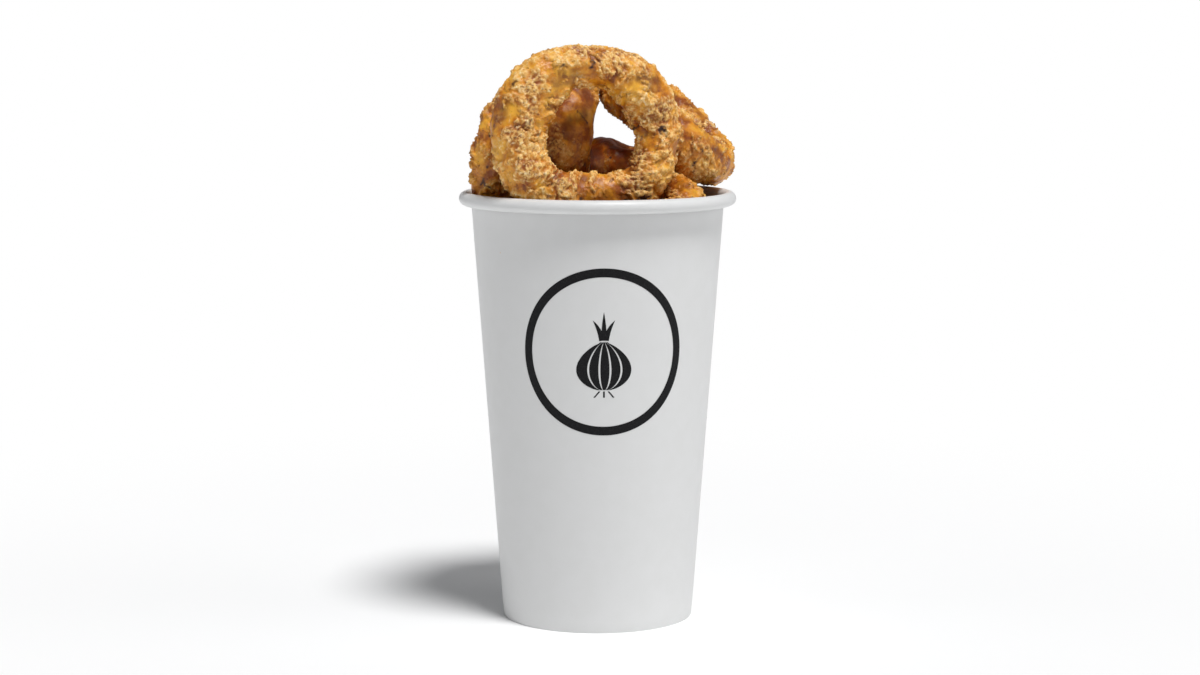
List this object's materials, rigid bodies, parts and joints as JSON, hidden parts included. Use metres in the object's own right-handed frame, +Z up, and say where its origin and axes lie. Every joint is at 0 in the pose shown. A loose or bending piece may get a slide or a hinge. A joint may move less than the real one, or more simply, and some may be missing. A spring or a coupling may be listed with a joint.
{
  "type": "onion rings side in a paper cup",
  "caption": "Tall white paper cup with a rolled rim, heaped with battered onion rings that stand up and lean on each other above the mouth.",
  "frame": {"origin": "on the cup axis at the surface the cup stands on", "axes": "+Z up along the cup axis, -Y towards the side with the round print, +X to that side's right"},
  "size_m": [0.091, 0.09, 0.1875],
  "materials": {
    "white_paper": "smooth coated white board",
    "base_paper": "smooth coated white board",
    "heap_crust": "fried batter",
    "ring_crust": "craggy fried batter"
  },
  "bodies": {
    "root": {"cup_wall": "white_paper", "cup_base": "base_paper", "ring_heap": "heap_crust", "ring_front": "ring_crust", "ring_left": "ring_crust", "ring_mid": "ring_crust", "ring_right": "ring_crust", "ring_low_back": "ring_crust", "ring_low_right": "ring_crust", "ring_low_left": "ring_crust", "ring_back_left": "ring_crust"}
  },
  "joints": []
}
